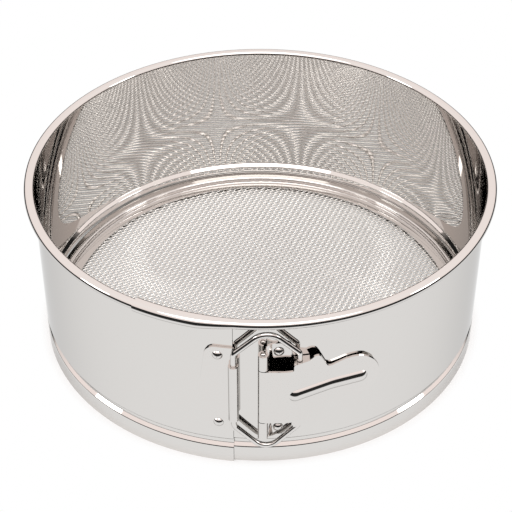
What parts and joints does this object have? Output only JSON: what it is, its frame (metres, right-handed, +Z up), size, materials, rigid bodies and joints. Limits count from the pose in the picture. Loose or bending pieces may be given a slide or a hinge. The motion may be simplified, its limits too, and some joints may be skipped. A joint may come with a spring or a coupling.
{
  "type": "clip-ring drum sieve",
  "caption": "Round stainless drum sieve: a coiled sheet ring with rolled rim, closed by an over-centre clasp, gripping a woven mesh floor by its flange, just under a pressed-in ridge.",
  "frame": {"origin": "centre of the ring on the table, in the plane of the ring's lower edge", "axes": "+Z up along the ring's axis, the clasp towards -Y, its lever reaching towards +X"},
  "size_m": [0.1879, 0.1892, 0.0732],
  "materials": {
    "band_steel": "mirror polished",
    "floor_steel": "bright rolled",
    "mesh_wire": "bright drawn wire",
    "clasp_steel": "mirror polished",
    "rivet_steel": "polished",
    "bail_wire": "bright drawn wire"
  },
  "bodies": {
    "ring": {"band": "band_steel", "base_ring": "floor_steel", "mesh": "mesh_wire", "clamp_ring": "floor_steel", "anchor_plate": "clasp_steel", "anchor_rivets": "rivet_steel", "bracket": "clasp_steel", "bracket_rivets": "rivet_steel", "hinge_pin": "rivet_steel"},
    "lever": {"lever": "clasp_steel"},
    "bail": {"bail": "bail_wire"}
  },
  "joints": [
    {"name": "lever_hinge", "type": "hinge", "parent": "ring", "child": "lever", "pos_m": [0.0009, -0.0932, 0.0383], "axis": [0, 0, -1], "range_deg": [0, 140]},
    {"name": "bail_hinge", "type": "hinge", "parent": "ring", "child": "bail", "pos_m": [-0.00989, -0.09231, 0.0383], "axis": [0, 0, -1], "range_deg": [0, 77.9]}
  ],
  "couplings": [
    {"joint": "bail_hinge", "follows": "lever_hinge", "ratio": 0.553}
  ]
}
